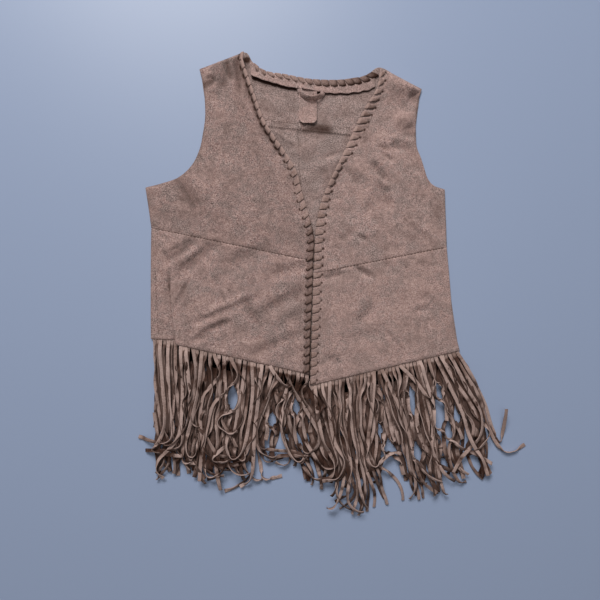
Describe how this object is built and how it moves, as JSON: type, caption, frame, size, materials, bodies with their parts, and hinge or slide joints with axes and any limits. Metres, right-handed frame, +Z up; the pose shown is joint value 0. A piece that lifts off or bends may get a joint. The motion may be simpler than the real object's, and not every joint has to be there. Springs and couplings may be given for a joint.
{
  "type": "fringed suede vest",
  "caption": "Sleeveless suede vest with a deep V neck, whip-laced edges and long cut fringe along the hem, lying flat on its back.",
  "frame": {"origin": "middle of the laid-flat vest's outline, fringe included, at the height of the surface it lies on", "axes": "+Z up out of the surface, +Y from the fringe towards the neck, +X towards the wearer's left (the right of the picture)"},
  "size_m": [0.6458, 0.7814, 0.012],
  "materials": {
    "suede_panel": "matt brushed suede with a short uneven nap",
    "suede_trim": "matt brushed suede",
    "suede_lacing": "matt suede thong",
    "suede_fringe": "matt suede strips with raw cut edges"
  },
  "bodies": {
    "root": {"back_yoke": "suede_panel", "back_right": "suede_panel", "back_left": "suede_panel", "front_upper_right": "suede_panel", "front_upper_left": "suede_panel", "front_lower_right": "suede_panel", "front_lower_left": "suede_panel", "back_neck_facing": "suede_trim", "hang_loop": "suede_trim", "neck_tab": "suede_trim", "lace_front_right": "suede_lacing", "lace_front_left": "suede_lacing", "lace_back_neck": "suede_lacing", "fringe_front_right": "suede_fringe", "fringe_front_left": "suede_fringe", "fringe_back": "suede_fringe"}
  },
  "joints": []
}
